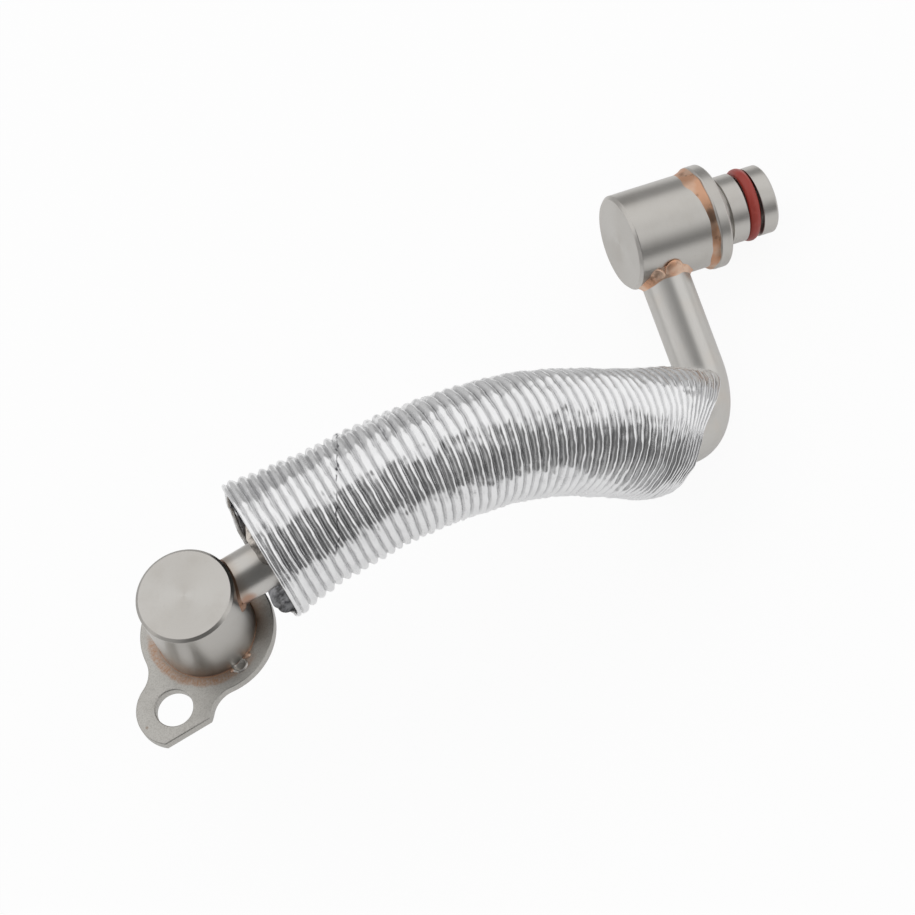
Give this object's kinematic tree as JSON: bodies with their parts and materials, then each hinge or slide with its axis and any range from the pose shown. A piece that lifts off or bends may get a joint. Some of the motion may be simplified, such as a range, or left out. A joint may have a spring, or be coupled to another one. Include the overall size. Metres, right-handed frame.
{
  "type": "coolant pipe",
  "caption": "Bent steel coolant pipe between a bolted flange with a plug-in nozzle and a push-in spigot, with a corrugated foil heat sleeve round its middle.",
  "frame": {"origin": "centre of the flange's mounting face, on the axis of the flange barrel and its nozzle", "axes": "+Z along the flange barrel's axis towards its closed cap, +X the way the tube leaves the flange barrel"},
  "size_m": [0.1621, 0.0635, 0.0667],
  "materials": {
    "blasted_steel": "blasted matt steel plate",
    "turned_steel": "satin turned steel with fine tool marks",
    "drawn_steel": "drawn steel tube",
    "crinkled_foil": "bright crinkled foil",
    "copper_braze": "copper coloured braze",
    "red_rubber": "brick red rubber"
  },
  "bodies": {
    "root": {"flange_plate": "blasted_steel", "flange_barrel": "turned_steel", "nozzle_o_ring": "red_rubber", "coolant_tube": "drawn_steel", "heat_sleeve": "crinkled_foil", "spigot_barrel": "turned_steel", "spigot_nose": "turned_steel", "spigot_o_ring": "red_rubber", "flange_braze": "copper_braze", "collar_braze": "copper_braze", "lower_tube_braze": "copper_braze", "upper_tube_braze": "copper_braze"}
  },
  "joints": []
}
